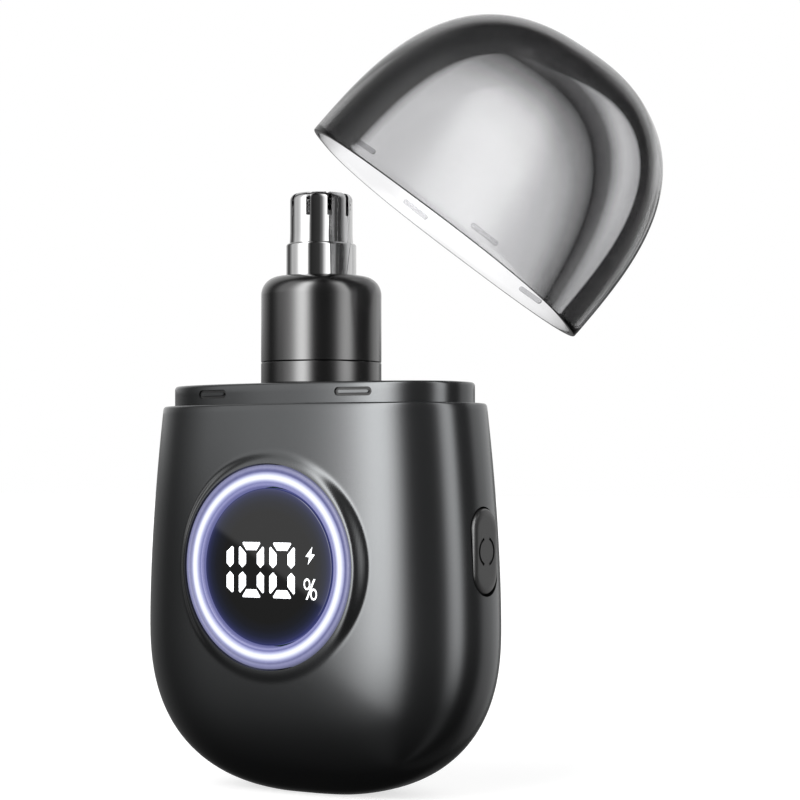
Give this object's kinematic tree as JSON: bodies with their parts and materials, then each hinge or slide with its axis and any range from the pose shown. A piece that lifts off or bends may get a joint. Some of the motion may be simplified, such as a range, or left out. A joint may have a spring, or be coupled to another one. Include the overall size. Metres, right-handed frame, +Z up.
{
  "type": "nose hair trimmer",
  "caption": "Pocket rotary nose hair trimmer with a flattened egg-shaped body, a round lit charge display, a side button and a smoked dome cap held off to one side.",
  "frame": {"origin": "centre of the flat base that the housing stands on", "axes": "+Z up from the base to the cutter, -Y out of the display, +X out of the power button"},
  "size_m": [0.0629, 0.0329, 0.0944],
  "materials": {
    "gunmetal_coating": "satin metallic graphite coating on moulded plastic",
    "button_coating": "satin metallic graphite coating",
    "black_satin": "satin black moulding",
    "dark_chrome": "polished, slightly smoked chrome",
    "smoked_clear": "clear smoked grey, polished both sides",
    "halo_light": "frosted light guide, lit white with a violet edge",
    "black_glass": "black polished window",
    "bright_steel": "ground",
    "stamped_steel": "nickel plated",
    "white_plastic": "moulded",
    "rubber_black": "moulded",
    "circuit_green": "solder resist",
    "black_part": "moulded",
    "cell_wrap": "shrink sleeve",
    "brass_tab": "stamped",
    "lead_red": "insulation",
    "lead_black": "insulation"
  },
  "bodies": {
    "housing": {"outer_housing": "gunmetal_coating", "top_deck": "gunmetal_coating", "neck_base": "black_satin", "halo_ring": "halo_light", "display_lens": "black_glass", "motor_screw_left": "bright_steel", "motor_screw_right": "bright_steel", "port_shell": "bright_steel", "motor_can": "stamped_steel", "motor_end_cap": "white_plastic", "deck_seal": "rubber_black", "button_gasket": "rubber_black", "battery_pad": "rubber_black", "control_board": "circuit_green", "switch_board": "circuit_green", "charge_board": "circuit_green", "display_frame": "black_part", "display_panel": "black_part", "control_chip": "black_part", "charge_chip": "black_part", "switch_body": "black_part", "port_tongue": "black_part", "battery_cell": "cell_wrap", "battery_tab_positive": "brass_tab", "battery_tab_negative": "brass_tab", "motor_lead_red": "lead_red", "battery_lead_red": "lead_red", "motor_lead_black": "lead_black", "battery_lead_black": "lead_black"},
    "head": {"neck_cover": "black_satin", "outer_cutter": "dark_chrome"},
    "rotor": {"blade_hub": "white_plastic", "inner_blade": "bright_steel", "blade_spring": "bright_steel", "motor_shaft": "bright_steel"},
    "button": {"power_button": "button_coating", "switch_plunger": "white_plastic"},
    "dust_cap": {"cap": "smoked_clear"}
  },
  "joints": [
    {"name": "cap_swing", "type": "hinge", "parent": "housing", "child": "dust_cap", "pos_m": [0.02859, 0.02077, 0.0378], "axis": [-0.5464, 0.8286, 0.1219], "range_deg": [-41, 0]},
    {"name": "head_twist", "type": "hinge", "parent": "housing", "child": "head", "pos_m": [0, 0, 0.0516], "axis": [0, 0, 1], "range_deg": [0, 60]},
    {"name": "rotor_spin", "type": "hinge", "parent": "housing", "child": "rotor", "pos_m": [0, 0, 0.0516], "axis": [0, 0, 1], "continuous": true},
    {"name": "button_press", "type": "slide", "parent": "housing", "child": "button", "axis": [-1, 0, 0], "range_m": [0, 0.0005], "stiffness_N_per_m": 800}
  ]
}
